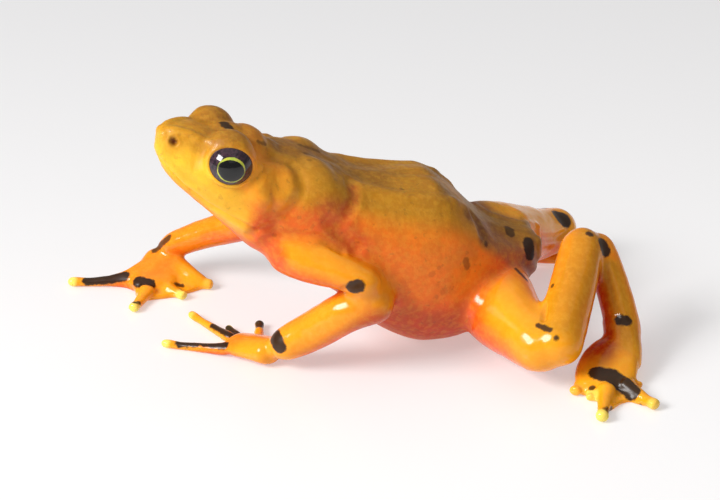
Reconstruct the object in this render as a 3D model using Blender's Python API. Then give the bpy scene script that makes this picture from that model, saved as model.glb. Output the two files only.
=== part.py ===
"""Life-size model of a variable harlequin frog, caught in a walking pose.

All sizes are in millimetres and are turned into metres once, in build_mesh().
The frog heads towards -X, its left side is -Y and the floor is z = 0.
"""
import bpy
import bmesh
from math import cos, pi, radians, sin, sqrt
from mathutils import Matrix, Vector

MM = 0.001
GAP = 0.3
SHIFT_X = 7.1
SHIFT_Y = 1.425

# Driving sizes of the trunk: x, underside, top, half width
TRUNK = (
    (-21.8, 15.6, 26.2, 5.2),
    (-19.6, 11.8, 27.1, 6.8),
    (-16.0, 8.8, 26.2, 7.7),
    (-12.0, 5.6, 23.8, 8.2),
    (-8.0, 2.6, 22.3, 8.9),
    (-3.5, 0.5, 21.3, 9.3),
    (0.0, -0.1, 20.6, 9.0),
    (3.0, 0.2, 18.4, 8.2),
    (6.5, 1.6, 15.0, 6.8),
    (9.5, 3.9, 13.2, 5.2),
    (12.2, 6.6, 12.2, 3.4),
    (13.5, 8.4, 11.2, 1.6),
)
# Height of the widest level, as a share of the height above the underside
WAIST = 0.46
TRUNK_TOP_POWER = 2.9
TRUNK_LOW_POWER = 2.1
TRUNK_RINGS = 28
TRUNK_SEGMENTS = 24

# Driving sizes of the head, in the same order
HEAD = (
    (-33.2, 28.4, 30.2, 0.8),
    (-32.6, 26.6, 30.9, 1.7),
    (-31.4, 24.5, 31.4, 2.8),
    (-29.5, 22.4, 31.3, 4.1),
    (-27.3, 20.1, 30.7, 5.3),
    (-25.0, 17.6, 29.9, 6.2),
    (-22.4, 14.8, 28.7, 6.9),
    (-19.0, 13.2, 26.0, 5.2),
)
HEAD_PIVOT_X = -20.5
HEAD_TURN = radians(5.0)
HEAD_TOP_POWER = 2.6
HEAD_LOW_POWER = 2.3
HEAD_RINGS = 22
HEAD_SEGMENTS = 24

# The eyeballs, and the lids that wrap them and open outwards, forwards and upwards
EYE_RADIUS = 3.0
EYE_X = -25.6
EYE_Y = 3.9
EYE_Z = 27.5
LID_RADIUS = 3.6
LID_BACK = 0.25
LID_RISE = 0.15
LID_OPENING = (2.9, 3.2, 2.45)
LID_OPENING_OUT = (-0.6, 2.9, 0.6)
NOSTRIL = (-31.5, 2.35, 30.2)
NOSTRIL_RADIUS = 0.42
# Segments and rings of the balls
BALL_GRID = (16, 10)
NOSTRIL_GRID = (8, 6)

# The line of the mouth: x and height, from its corner to the snout
MOUTH = (
    (-23.2, 19.4),
    (-26.0, 21.2),
    (-28.6, 23.0),
    (-30.8, 24.9),
    (-32.2, 26.7),
    (-32.9, 27.7),
)
MOUTH_RADIUS = 0.32
MOUTH_SEGMENTS = 6
MOUTH_RINGS = 40
MOUTH_TIP_REACH = 0.35
MOUTH_TIP_RISE = 0.3
HEAD_STEP = 0.005
LIP_RADIUS = 0.5
LIP_INSET = 0.22
LIP_RISES = (-0.62, 0.62)
LIP_POINTS = 4

# Spines of the limbs: x, y, z, half width across, half height
LIMBS = {
    "upper_arm_left": ((-19.8, -3.6, 16.9, 3.5, 3.2), (-16.6, -6.8, 15.5, 2.7, 2.55),
                       (-12.8, -9.2, 13.9, 2.15, 2.1), (-9.0, -10.5, 11.8, 2.0, 2.0)),
    "forearm_left": ((-7.3, -10.4, 10.4, 2.4, 2.4), (-11.9, -8.6, 8.8, 2.5, 2.5),
                     (-16.3, -5.9, 5.0, 2.4, 2.4), (-20.9, -4.0, 2.0, 2.0, 1.9)),
    "upper_arm_right": ((-19.4, 3.6, 17.4, 3.4, 3.3), (-17.0, 8.6, 14.2, 2.8, 2.8),
                        (-15.2, 12.6, 11.6, 2.4, 2.4), (-14.4, 14.6, 10.5, 2.2, 2.2)),
    "forearm_right": ((-14.4, 14.5, 10.5, 2.1, 2.1), (-18.4, 16.9, 8.7, 2.3, 2.2),
                      (-23.6, 20.4, 6.0, 2.0, 1.9), (-28.2, 23.6, 3.4, 1.7, 1.6)),
    "thigh_left": ((6.9, -2.4, 6.9, 4.6, 4.7), (6.6, -7.5, 5.7, 4.7, 4.6),
                   (7.8, -12.8, 5.2, 3.85, 3.7), (9.7, -19.4, 5.1, 3.1, 3.0)),
    "shank_left": ((9.2, -19.6, 4.7, 3.0, 3.0), (11.9, -15.2, 7.3, 2.95, 2.9),
                   (14.9, -10.2, 10.5, 2.8, 2.7), (17.7, -5.2, 13.8, 2.5, 2.4)),
    "tarsus_left": ((18.5, -5.4, 13.3, 2.0, 1.9), (19.5, -8.3, 9.6, 2.1, 2.0),
                    (20.2, -11.8, 4.9, 2.2, 2.1), (19.9, -14.4, 2.1, 2.3, 1.9)),
    "thigh_right": ((8.6, 2.8, 10.0, 4.3, 4.3), (13.2, 6.8, 7.6, 3.6, 3.6),
                    (18.0, 11.4, 5.5, 3.0, 2.9), (22.6, 13.8, 4.4, 2.5, 2.5)),
    "shank_right": ((22.2, 12.6, 4.5, 2.2, 2.2), (18.4, 10.6, 4.6, 2.3, 2.1),
                    (12.6, 9.2, 4.2, 2.4, 2.2), (6.6, 9.4, 3.2, 1.9, 2.0)),
    "tarsus_right": ((6.4, 9.8, 2.6, 1.8, 1.7), (9.6, 12.0, 1.8, 1.7, 1.5),
                     (13.2, 13.6, 1.5, 1.6, 1.4), (16.6, 14.2, 1.4, 1.7, 1.3)),
    "hand_left": ((-20.0, -4.3, 1.9, 2.0, 1.8), (-21.6, -1.9, 1.5, 2.3, 1.4),
                  (-23.2, 0.2, 1.1, 2.4, 1.1), (-24.3, 1.7, 0.9, 2.0, 0.9)),
    "hand_right": ((-27.8, 23.4, 2.8, 1.8, 1.6), (-28.8, 21.6, 1.8, 2.6, 1.5),
                   (-29.8, 19.4, 1.2, 3.1, 1.1), (-30.0, 17.2, 0.9, 2.6, 0.9)),
    "foot_left": ((20.0, -13.6, 2.0, 2.4, 2.0), (17.7, -16.0, 1.9, 3.4, 2.0),
                  (16.0, -18.6, 1.2, 3.6, 1.3), (15.4, -21.0, 0.9, 2.9, 0.9)),
    "foot_right": ((16.4, 14.2, 1.4, 1.7, 1.3), (18.6, 14.1, 1.2, 2.4, 1.2),
                   (20.8, 13.8, 1.0, 2.8, 1.0), (22.6, 13.4, 0.9, 2.2, 0.9)),
}
LIMB_SEGMENTS = 14
LIMB_RINGS = 11
# Share of a limb's length that its round end takes, and the least width there
ROUND_END = 0.16
LEAST_END = 0.06
SLOPE_STEP = 0.02

# Each limb part with the parts of its own limb that it is trimmed by
CHAIN = (
    ("upper_arm_", ()),
    ("forearm_", ("upper_arm_",)),
    ("hand_", ("forearm_",)),
    ("thigh_", ()),
    ("shank_", ("thigh_",)),
    ("tarsus_", ("shank_", "thigh_")),
    ("foot_", ("tarsus_", "shank_")),
)

# Digits: root x, root y, tip x, tip y, half width
DIGITS = {
    "finger_left_1": (-21.0, 1.0, -19.7, 6.0, 0.62),
    "finger_left_2": (-22.4, 2.0, -23.7, 6.2, 0.50),
    "finger_left_3": (-23.8, 2.2, -27.4, 10.7, 0.57),
    "finger_left_4": (-24.4, -0.4, -32.3, 4.1, 0.60),
    "finger_right_1": (-28.0, 19.0, -23.0, 16.9, 0.76),
    "finger_right_2": (-28.8, 17.4, -27.0, 14.8, 0.68),
    "finger_right_3": (-31.0, 17.4, -34.0, 13.2, 0.70),
    "finger_right_4": (-31.4, 20.2, -40.4, 22.5, 0.68),
    "toe_left_1": (14.0, -17.6, 11.6, -20.3, 0.74),
    "toe_left_2": (14.2, -19.6, 13.0, -22.0, 0.60),
    "toe_left_3": (15.4, -20.9, 12.7, -27.0, 0.80),
    "toe_left_4": (17.5, -20.2, 19.9, -25.9, 0.78),
    "toe_left_5": (18.2, -18.2, 19.8, -20.7, 0.55),
    "toe_right_1": (19.8, 15.4, 20.6, 18.0, 0.62),
    "toe_right_2": (21.6, 15.0, 23.4, 17.2, 0.62),
    "toe_right_3": (22.8, 14.0, 26.2, 14.9, 0.66),
    "toe_right_4": (22.8, 12.8, 25.9, 12.0, 0.66),
    "toe_right_5": (21.6, 12.0, 23.8, 9.9, 0.64),
}
DIGIT_SEGMENTS = 8
DIGIT_RINGS = 8
# Place along a digit, and its width there against its own half width
DIGIT_SWELL = ((0.0, 1.15), (0.35, 1.0), (0.7, 0.92), (1.0, 1.12))
DIGIT_FLATNESS = 0.86

SKIN_ROUGHNESS = 0.3
COLOURS = {
    "skin_back": (0.52, 0.27, 0.05, 1.0),
    "skin_limb": (0.88, 0.38, 0.03, 1.0),
    "digit_tip": (0.90, 0.66, 0.08, 1.0),
    "eye_dark": (0.03, 0.02, 0.03, 1.0),
}


def turned(x, y):
    """Turns a point of the head about the neck, towards the frog's left."""
    along = x - HEAD_PIVOT_X
    ahead = HEAD_PIVOT_X + along * cos(HEAD_TURN) - y * sin(HEAD_TURN)
    return (ahead, along * sin(HEAD_TURN) + y * cos(HEAD_TURN))


def catmull(values, position):
    """Smooth value at a position between 0 and 1 along a row of equal-length tuples."""
    last = len(values) - 1
    place = min(max(position, 0.0), 1.0) * last
    index = min(int(place), last - 1)
    t = place - index
    p1 = values[index]
    p2 = values[index + 1]
    p0 = values[index - 1] if index > 0 else tuple(2 * a - b for a, b in zip(p1, p2))
    p3 = values[index + 2] if index + 2 <= last else tuple(2 * b - a for a, b in zip(p1, p2))
    out = []
    for a, b, c, d in zip(p0, p1, p2, p3):
        slope = 2 * b + (c - a) * t + (2 * a - 5 * b + 4 * c - d) * t * t
        out.append(0.5 * (slope + (3 * b - a - 3 * c + d) * t ** 3))
    return out


def signed_power(value, power):
    """Power of a value that keeps its sign."""
    return (abs(value) ** power) * (1 if value >= 0 else -1)


def build_mesh(name, rings, floor):
    """Closed mesh from rings of equal length, its ends closed by fans."""
    mesh = bpy.data.meshes.new(name)
    bm = bmesh.new()
    made = []
    for ring in rings:
        row = []
        for point in ring:
            height = max(point[2], 0.0) if floor else point[2]
            row.append(bm.verts.new(((point[0] + SHIFT_X) * MM, (point[1] + SHIFT_Y) * MM, height * MM)))
        made.append(row)
    count = len(made[0])
    for first, second in zip(made[:-1], made[1:]):
        for i in range(count):
            j = (i + 1) % count
            bm.faces.new((first[i], first[j], second[j], second[i]))
    for row in (made[0], made[-1]):
        centre = bm.verts.new(sum((v.co for v in row), Vector()) / count)
        for i in range(count):
            bm.faces.new((row[i], row[(i + 1) % count], centre))
    bmesh.ops.recalc_face_normals(bm, faces=bm.faces)
    bm.to_mesh(mesh)
    bm.free()
    obj = bpy.data.objects.new(name, mesh)
    bpy.context.scene.collection.objects.link(obj)
    return obj


def upright_rings(stations, ring_count, segments, top_power, low_power, grow):
    """Rings in upright planes along the body; stations give x, underside, top and half width."""
    rings = []
    for k in range(ring_count):
        x, low, top, half = catmull(stations, k / (ring_count - 1))
        middle = low + (top - low) * WAIST
        row = []
        for i in range(segments):
            angle = 2 * pi * i / segments
            power = top_power if sin(angle) > 0 else low_power
            side = signed_power(cos(angle), 2 / power) * (half + grow)
            reach = (top - middle) if sin(angle) > 0 else (middle - low)
            rise = signed_power(sin(angle), 2 / power) * (reach + grow)
            row.append((x, side, middle + rise))
        rings.append(row)
    if grow:
        first = [(p[0] - grow, p[1], p[2]) for p in rings[0]]
        last = [(p[0] + grow, p[1], p[2]) for p in rings[-1]]
        rings = [first] + rings[1:-1] + [last]
    return rings


def tube_rings(spine, ring_count, segments, grow):
    """Rings across a bent spine with rounded ends; spine gives x, y, z, half width, half height."""
    rings = []
    for k in range(ring_count):
        t = 0.5 - 0.5 * cos(pi * k / (ring_count - 1))
        x, y, z, wide, high = catmull(spine, t)
        ahead = Vector(catmull(spine, min(t + SLOPE_STEP, 1.0))[:3])
        behind = Vector(catmull(spine, max(t - SLOPE_STEP, 0.0))[:3])
        along = (ahead - behind).normalized()
        across = along.cross(Vector((0, 0, 1))).normalized()
        up = across.cross(along)
        edge = min(t, 1 - t) / ROUND_END
        round_off = sqrt(max(1 - (1 - min(edge, 1.0)) ** 2, LEAST_END))
        push = 0.0
        if k == 0:
            push = -grow
        if k == ring_count - 1:
            push = grow
        centre = Vector((x, y, z)) + along * push
        row = []
        for i in range(segments):
            angle = 2 * pi * i / segments
            side = across * cos(angle) * (wide * round_off + grow)
            rise = up * sin(angle) * (high * round_off + grow)
            row.append(tuple(centre + side + rise))
        rings.append(row)
    return rings


def make_trunk(name, grow=0.0):
    rings = upright_rings(TRUNK, TRUNK_RINGS, TRUNK_SEGMENTS, TRUNK_TOP_POWER, TRUNK_LOW_POWER, grow)
    return build_mesh(name, rings, True)


def make_head_shape(name, grow=0.0):
    rings = upright_rings(HEAD, HEAD_RINGS, HEAD_SEGMENTS, HEAD_TOP_POWER, HEAD_LOW_POWER, grow)
    rings = [[turned(p[0], p[1]) + (p[2],) for p in row] for row in rings]
    return build_mesh(name, rings, True)


def make_limb(name, key, grow=0.0):
    return build_mesh(name, tube_rings(LIMBS[key], LIMB_RINGS, LIMB_SEGMENTS, grow), True)


def make_digit(name, key, grow=0.0):
    """A finger or toe that lies on the floor, a little swollen at its tip."""
    root_x, root_y, tip_x, tip_y, half = DIGITS[key]
    spine = []
    for t, swell in DIGIT_SWELL:
        x = root_x + (tip_x - root_x) * t
        y = root_y + (tip_y - root_y) * t
        wide = half * swell
        spine.append((x, y, wide * DIGIT_FLATNESS, wide, wide))
    return build_mesh(name, tube_rings(spine, DIGIT_RINGS, DIGIT_SEGMENTS, grow), True)


def make_ball(name, centre, radii, grid=BALL_GRID):
    """Ball on the head, whose centre turns with the head; radii along x, y and z."""
    mesh = bpy.data.meshes.new(name)
    bm = bmesh.new()
    x, y = turned(centre[0], centre[1])
    place = Matrix.Translation(Vector(((x + SHIFT_X) * MM, (y + SHIFT_Y) * MM, centre[2] * MM)))
    place = place @ Matrix.Rotation(HEAD_TURN, 4, "Z") @ Matrix.Diagonal((*radii, 1 / MM)) * MM
    bmesh.ops.create_uvsphere(bm, u_segments=grid[0], v_segments=grid[1], radius=1.0, matrix=place)
    bm.to_mesh(mesh)
    bm.free()
    obj = bpy.data.objects.new(name, mesh)
    bpy.context.scene.collection.objects.link(obj)
    return obj


def head_half_width(x, z):
    """Half width of the head, before it turns, at a place along it and a height."""
    position = 0.0
    while position < 1.0 and catmull(HEAD, position)[0] < x:
        position += HEAD_STEP
    low, top, half = catmull(HEAD, position)[1:]
    middle = low + (top - low) * WAIST
    reach = (top - middle) if z > middle else (middle - low)
    power = HEAD_TOP_POWER if z > middle else HEAD_LOW_POWER
    level = min(abs(z - middle) / reach, 1.0)
    return half * (1 - level ** power) ** (1 / power)


def mouth_tube(name, path, radius):
    """Thin tube along points of the head, which turn with it."""
    spine = [turned(x, y) + (z, radius, radius) for x, y, z in path]
    return build_mesh(name, tube_rings(spine, MOUTH_RINGS, MOUTH_SEGMENTS, 0.0), False)


def make_mouth_groove(name):
    """Tube along the closed mouth, from corner to corner round the snout."""
    side = [(x, head_half_width(x, z), z) for x, z in MOUTH]
    tip = (MOUTH[-1][0] - MOUTH_TIP_REACH, 0.0, MOUTH[-1][1] + MOUTH_TIP_RISE)
    path = side + [tip] + [(x, -y, z) for x, y, z in reversed(side)]
    return mouth_tube(name, path, MOUTH_RADIUS)


def make_lip(name, side, rise):
    """Low ridge beside the mouth, from its corner to near the snout."""
    path = []
    for x, z in MOUTH[:LIP_POINTS]:
        path.append((x, side * (head_half_width(x, z + rise) - LIP_INSET), z + rise))
    return mouth_tube(name, path, LIP_RADIUS)


def combine(target, others, operation, solver="EXACT"):
    """Boolean of the target with others, which are removed afterwards."""
    for other in others:
        step = target.modifiers.new("step", "BOOLEAN")
        step.operation = operation
        step.solver = solver
        step.object = other
        bpy.context.view_layer.update()
        shape = bpy.data.meshes.new_from_object(target.evaluated_get(bpy.context.evaluated_depsgraph_get()))
        target.modifiers.clear()
        target.data = shape
        bpy.data.objects.remove(other)
    keep_largest(target)
    return target


def keep_largest(obj):
    """Drops every loose surface but the largest one."""
    bm = bmesh.new()
    bm.from_mesh(obj.data)
    left = set(bm.verts)
    groups = []
    while left:
        seed = left.pop()
        group = {seed}
        todo = [seed]
        while todo:
            vert = todo.pop()
            for edge in vert.link_edges:
                other = edge.other_vert(vert)
                if other in left:
                    left.remove(other)
                    group.add(other)
                    todo.append(other)
        groups.append(group)
    groups.sort(key=len)
    for group in groups[:-1]:
        bmesh.ops.delete(bm, geom=list(group), context="VERTS")
    bmesh.ops.recalc_face_normals(bm, faces=bm.faces)
    bm.to_mesh(obj.data)
    bm.free()


def give_colour(obj, slot):
    material = bpy.data.materials.new(slot + "_" + obj.name)
    material.use_nodes = True
    shader = material.node_tree.nodes["Principled BSDF"]
    shader.inputs["Base Color"].default_value = COLOURS[slot]
    shader.inputs["Roughness"].default_value = SKIN_ROUGHNESS
    obj.data.materials.clear()
    obj.data.materials.append(material)


def main():
    for obj in list(bpy.data.objects):
        bpy.data.objects.remove(obj)
    torso = make_trunk("torso")
    give_colour(torso, "skin_back")
    head = make_head_shape("head")
    cutters = [make_trunk("cut", GAP), make_mouth_groove("cut")]
    added = []
    for side in (-1, 1):
        added.append(make_ball("lid", (EYE_X + LID_BACK, side * EYE_Y, EYE_Z + LID_RISE), (LID_RADIUS,) * 3))
        added += [make_lip("lip", side, rise) for rise in LIP_RISES]
        cutters.append(make_ball("cut", (EYE_X, side * EYE_Y, EYE_Z), (EYE_RADIUS + GAP,) * 3))
        ahead, out, rise = LID_OPENING_OUT
        cutters.append(make_ball("cut", (EYE_X + ahead, side * (EYE_Y + out), EYE_Z + rise), LID_OPENING))
        nostril = (NOSTRIL[0], side * NOSTRIL[1], NOSTRIL[2])
        cutters.append(make_ball("cut", nostril, (NOSTRIL_RADIUS,) * 3, NOSTRIL_GRID))
    combine(head, added, "UNION", "MANIFOLD")
    combine(head, cutters, "DIFFERENCE", "MANIFOLD")
    give_colour(head, "skin_back")
    for side, word in ((-1, "left"), (1, "right")):
        eye = make_ball("eye_" + word, (EYE_X, side * EYE_Y, EYE_Z), (EYE_RADIUS,) * 3)
        give_colour(eye, "eye_dark")
    for word in ("left", "right"):
        for part, before in CHAIN:
            limb = make_limb(part + word, part + word)
            cuts = [make_limb("cut", other + word, GAP) for other in before]
            cuts.append(make_trunk("cut", GAP))
            if part == "upper_arm_":
                cuts.append(make_head_shape("cut", GAP))
            combine(limb, cuts, "DIFFERENCE", "MANIFOLD")
            give_colour(limb, "skin_limb")
        for kind, base, count in (("finger", "hand_", 4), ("toe", "foot_", 5)):
            for number in range(1, count + 1):
                name = "%s_%s_%d" % (kind, word, number)
                digit = make_digit(name, name)
                combine(digit, [make_limb("cut", base + word, GAP)], "DIFFERENCE")
                give_colour(digit, "digit_tip")


main()
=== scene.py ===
"""Looks of a life-size variable harlequin frog: one skin, two eyes, and the studio round them.

Shapes are worked out in millimetres in the frog's own frame, where it heads towards -X, its left side
is -Y and the floor is z = 0. to_row() moves them into the frame's place and turns them into metres.
"""

import bpy
import numpy as np
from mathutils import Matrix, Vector, noise
from mathutils.bvhtree import BVHTree


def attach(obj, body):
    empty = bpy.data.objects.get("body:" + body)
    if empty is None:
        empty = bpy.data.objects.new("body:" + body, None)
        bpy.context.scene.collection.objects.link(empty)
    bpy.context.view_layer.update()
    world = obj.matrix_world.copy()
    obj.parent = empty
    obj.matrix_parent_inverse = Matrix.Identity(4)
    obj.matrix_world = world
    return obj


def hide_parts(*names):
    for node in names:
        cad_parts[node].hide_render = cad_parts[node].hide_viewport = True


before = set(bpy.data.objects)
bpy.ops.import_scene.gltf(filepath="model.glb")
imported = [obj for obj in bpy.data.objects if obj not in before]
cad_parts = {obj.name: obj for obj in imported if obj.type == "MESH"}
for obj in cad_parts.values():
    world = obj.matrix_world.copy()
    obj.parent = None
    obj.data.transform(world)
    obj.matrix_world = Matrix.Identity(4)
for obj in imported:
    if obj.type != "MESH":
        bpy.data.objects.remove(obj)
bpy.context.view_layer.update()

MM = 0.001
# From the frog's own frame to the middle of its box in plan
SHIFT = np.array((7.1, 1.425, 0.0))

# The photo's camera, in the frog's own frame
PHOTO_SIZE = (720, 500)
CAMERA_PLACE = np.array((-90.5, -305.4, 173.0))
CAMERA_TARGET = np.array((-7.5, 4.4, 9.6))
FOCAL_PIXELS = 2988.0
SENSOR_WIDTH = 36.0

# Trunk and head: x, underside, top, half width
TRUNK = (
    (-21.8, 15.6, 26.2, 5.2),
    (-19.6, 11.8, 27.1, 6.8),
    (-16.0, 10.2, 26.2, 7.7),
    (-12.0, 7.6, 23.8, 8.2),
    (-8.0, 3.3, 22.3, 8.9),
    (-3.5, 0.5, 21.3, 9.3),
    (0.0, -0.1, 20.6, 9.0),
    (3.0, 0.2, 18.2, 8.2),
    (6.5, 1.6, 14.6, 6.8),
    (9.5, 3.9, 13.0, 5.2),
    (12.2, 6.6, 12.2, 3.4),
    (13.5, 8.4, 11.2, 1.6),
)
TRUNK_POWERS = (2.9, 2.1)
HEAD = (
    (-33.2, 28.4, 30.2, 0.8),
    (-32.6, 26.6, 30.9, 1.7),
    (-31.4, 24.5, 31.4, 2.8),
    (-29.5, 22.4, 31.3, 4.1),
    (-27.3, 20.1, 30.7, 5.3),
    (-25.0, 17.6, 29.9, 6.2),
    (-22.4, 14.8, 28.7, 6.9),
    (-19.0, 13.2, 26.0, 5.2),
)
HEAD_POWERS = (2.6, 2.3)
HEAD_PIVOT_X = -20.5
HEAD_TURN = np.radians(5.0)
# Where the rings of trunk and head are widest, as a share of their height
MIDDLE = 0.46

# The eyes, given for the right side; opening and pupil by their half length and half height
EYE_RADIUS = 3.0
EYE_CENTRE = (-25.6, 3.9, 27.5)
EYE_AXIS = (-0.20, 1.0, 0.19)
EYE_SLOPE = (-0.80, 0, 0.32)
EYE_OPENING = (2.58, 2.12)
PUPIL = (1.46, 1.34)
PUPIL_DROP = 0.25
# The cornea's height, and the part of the eyeball's front over which it rises
CORNEA_RISE = 0.22
CORNEA_START = 0.55
CORNEA_SPAN = 0.45
CORNEA_POWER = 1.2
# Stands for a place outside opening and pupil
FAR_RATIO = 9.0
# The ball of flesh over each eye: centre and radius
BROW_CENTRE = (-25.7, 3.5, 28.1)
BROW_RADIUS = 3.1
# Swelling of the skull between the eyes and of the nape: centre and radii
CROWN = (((-25.4, 0.0, 27.1), (4.2, 3.4, 3.5)), ((-22.9, 0.0, 25.7), (3.5, 4.0, 4.2)),
         ((-21.8, 0.0, 24.2), (4.4, 4.4, 4.3)))
# The lids, in shares of the opening: edge and rim, where the skin stops lying close to the eyeball and
# where it is left as it was, each with the width of the change before it
LID_THICKNESS = 0.14
LID_EDGE_WIDTH = 0.07
LID_RIM = 1.08
LID_RIM_WIDTH = 0.10
LID_RIM_HEIGHT = 0.10
LID_CLOSE = (1.22, 0.2)
LID_END = (1.65, 0.35)
# How far round the eyeball the skin is moved, and how far it sinks in behind the opening
LID_REACH = 1.5
LID_BACK = -0.2
SUNK_SHARE = 0.82
# The line of the mouth: x and height, from its corner to the snout
MOUTH = ((-23.2, 19.4), (-26.0, 21.2), (-28.6, 23.0), (-30.8, 24.9), (-32.2, 26.7), (-32.9, 27.7))

# Spines of the limbs: x, y, z, half width across, half height
LIMBS = {
    "upper_arm_left": ((-19.8, -3.6, 16.6, 3.5, 3.3), (-16.6, -6.8, 15.1, 2.9, 2.75),
                       (-12.8, -9.2, 13.9, 2.15, 2.1), (-9.0, -10.5, 11.8, 2.0, 2.0)),
    "forearm_left": ((-7.3, -10.4, 10.4, 2.4, 2.4), (-11.9, -8.6, 8.8, 2.5, 2.5),
                     (-16.3, -5.9, 5.0, 2.4, 2.4), (-20.9, -4.0, 2.0, 2.0, 1.9)),
    "upper_arm_right": ((-19.4, 3.6, 17.4, 3.4, 3.3), (-17.0, 8.6, 14.2, 2.8, 2.8),
                        (-15.2, 12.6, 11.6, 2.4, 2.4), (-14.4, 14.6, 10.5, 2.2, 2.2)),
    "forearm_right": ((-14.4, 14.5, 10.5, 2.1, 2.1), (-18.4, 16.9, 8.7, 2.3, 2.2),
                      (-23.6, 20.4, 6.0, 2.0, 1.9), (-28.8, 23.2, 3.0, 1.7, 1.6)),
    "thigh_left": ((6.9, -2.4, 6.9, 4.6, 4.7), (6.6, -7.5, 5.7, 4.7, 4.6),
                   (7.8, -12.8, 5.2, 3.85, 3.7), (9.7, -19.4, 5.1, 3.1, 3.0)),
    "shank_left": ((9.2, -19.6, 4.7, 3.0, 3.0), (11.9, -15.2, 7.3, 2.95, 2.9),
                   (14.9, -10.2, 10.5, 2.8, 2.7), (17.7, -5.2, 13.8, 2.5, 2.4)),
    "tarsus_left": ((18.5, -5.4, 13.3, 2.0, 1.9), (19.5, -8.3, 9.6, 2.1, 2.0),
                    (20.2, -11.8, 4.9, 2.2, 2.1), (19.9, -14.4, 2.1, 2.3, 1.9)),
    "thigh_right": ((8.6, 2.8, 10.0, 4.3, 4.3), (13.2, 6.8, 7.6, 3.6, 3.6),
                    (18.0, 11.4, 5.5, 3.0, 2.9), (22.6, 13.8, 4.4, 2.5, 2.5)),
    "shank_right": ((22.2, 12.6, 4.5, 2.2, 2.2), (18.4, 10.6, 4.6, 2.3, 2.1),
                    (12.6, 9.2, 4.2, 2.4, 2.2), (6.6, 9.4, 3.2, 1.9, 2.0)),
    "tarsus_right": ((6.4, 9.8, 2.6, 1.8, 1.7), (9.6, 12.0, 1.8, 1.7, 1.5),
                     (13.2, 13.6, 1.5, 1.6, 1.4), (16.6, 14.2, 1.4, 1.7, 1.3)),
}
PALMS = {
    "hand_left": ((-20.0, -4.3, 1.9, 2.0, 1.8), (-21.6, -1.9, 1.5, 2.3, 1.4),
                  (-23.2, 0.2, 1.1, 2.4, 1.1), (-24.3, 1.7, 0.9, 2.0, 0.9)),
    "hand_right": ((-27.8, 23.4, 2.8, 1.8, 1.6), (-28.8, 21.6, 1.8, 2.6, 1.5),
                   (-29.8, 19.4, 1.2, 3.1, 1.1), (-30.0, 17.2, 0.9, 2.6, 0.9)),
    "foot_left": ((20.0, -13.6, 2.0, 2.4, 2.0), (17.7, -16.0, 1.9, 3.4, 2.0),
                  (16.0, -18.6, 1.2, 3.6, 1.3), (15.4, -21.0, 0.9, 2.9, 0.9)),
    "foot_right": ((16.4, 14.2, 1.4, 1.7, 1.3), (18.6, 14.1, 1.2, 2.4, 1.2),
                   (20.8, 13.8, 1.0, 2.8, 1.0), (22.6, 13.4, 0.9, 2.2, 0.9)),
}
# Digits: root x, root y, tip x, tip y, half width
DIGITS = {
    "finger_left_1": (-21.0, 1.0, -19.7, 6.0, 0.62),
    "finger_left_2": (-22.4, 2.0, -23.7, 6.2, 0.50),
    "finger_left_3": (-23.8, 2.2, -27.4, 10.7, 0.57),
    "finger_left_4": (-24.4, -0.4, -32.3, 4.1, 0.60),
    "finger_right_1": (-28.0, 19.0, -23.0, 16.9, 0.76),
    "finger_right_2": (-28.8, 17.4, -27.0, 14.8, 0.68),
    "finger_right_3": (-31.0, 17.4, -34.0, 13.2, 0.70),
    "finger_right_4": (-31.4, 20.2, -40.4, 22.5, 0.68),
    "toe_left_1": (14.0, -17.6, 11.6, -20.3, 0.74),
    "toe_left_2": (14.2, -19.6, 13.0, -22.0, 0.60),
    "toe_left_3": (15.4, -20.9, 12.7, -27.0, 0.80),
    "toe_left_4": (17.5, -20.2, 19.9, -25.9, 0.78),
    "toe_left_5": (18.2, -18.2, 19.8, -20.7, 0.55),
    "toe_right_1": (19.8, 15.4, 20.6, 18.0, 0.62),
    "toe_right_2": (21.6, 15.0, 23.4, 17.2, 0.62),
    "toe_right_3": (22.8, 14.0, 26.2, 14.9, 0.66),
    "toe_right_4": (22.8, 12.8, 25.9, 12.0, 0.66),
    "toe_right_5": (21.6, 12.0, 23.8, 9.9, 0.64),
}
# Swelling of a digit along its length, and how much wider than usual some start
DIGIT_SWELL = ((0.0, 1.25), (0.28, 1.02), (0.5, 1.02), (0.72, 0.90), (0.88, 1.0), (1.0, 0.96))
DIGIT_ROOTS = {
    "finger_left_3": 1.35, "finger_left_4": 1.5, "finger_right_2": 1.3, "finger_right_3": 1.6,
    "finger_right_4": 1.5, "toe_left_1": 1.3, "toe_left_3": 1.6, "toe_left_4": 1.5,
}
DIGIT_ROOT_REACH = 0.6
DIGIT_ROOT_FADE = 1.5
DIGIT_HEIGHT = 0.9
# Skin over the right hip, and flesh that joins the left heel to its foot
HIP_FOLD = ((4.6, 3.2, 11.8, 2.9, 2.9), (8.7, 5.0, 10.4, 3.2, 3.2),
            (12.8, 7.4, 8.4, 3.1, 3.1), (17.2, 10.9, 6.0, 2.9, 2.8))
HEEL_FOLD = ((20.1, -11.0, 5.6, 2.1, 2.0), (19.85, -13.3, 3.6, 2.2, 2.0),
             (19.1, -15.6, 2.2, 2.4, 1.9), (18.1, -17.4, 1.4, 2.6, 1.4))
# Flesh that joins the wrist to the first and the longest finger of the right hand
WRIST_FOLDS = (
    ((-27.9, 22.6, 2.6, 1.4, 1.4), (-26.6, 20.4, 1.9, 1.25, 1.25),
     (-25.0, 18.4, 1.15, 0.95, 0.95), (-23.6, 17.3, 0.7, 0.6, 0.6)),
    ((-29.2, 22.0, 1.9, 1.5, 1.4), (-31.4, 21.2, 1.4, 1.15, 1.15),
     (-33.6, 21.0, 0.9, 0.85, 0.85), (-36.0, 21.4, 0.65, 0.6, 0.6)),
)

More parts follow.
